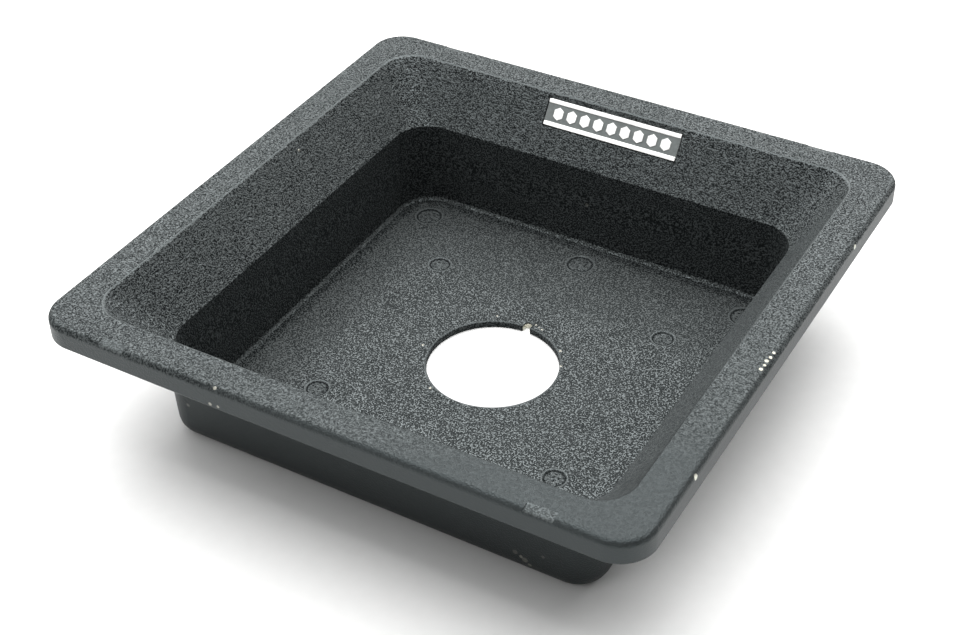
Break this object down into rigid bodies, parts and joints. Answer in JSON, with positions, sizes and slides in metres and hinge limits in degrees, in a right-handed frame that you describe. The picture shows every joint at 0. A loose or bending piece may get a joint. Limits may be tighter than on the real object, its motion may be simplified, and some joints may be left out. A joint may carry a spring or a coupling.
{
  "type": "recessed lens board",
  "caption": "Square black lens board with a deep dished centre and a round shutter hole in its floor, for a large-format view camera.",
  "frame": {"origin": "centre of the shutter hole on the back face of the dish", "axes": "+Z out of the open front of the dish, along the shutter hole's axis; +Y towards the side with the nameplate"},
  "size_m": [0.158, 0.158, 0.0415],
  "materials": {
    "black_wrinkle_paint": "fine textured black paint on a zinc or aluminium die casting",
    "bright_plate": "bright satin",
    "grey_enamel": "dark grey enamel fill",
    "adhesive": "thin transfer adhesive, hidden"
  },
  "bodies": {
    "root": {"board_casting": "black_wrinkle_paint", "nameplate_plate": "bright_plate", "nameplate_enamel": "grey_enamel", "nameplate_adhesive": "adhesive"}
  },
  "joints": []
}
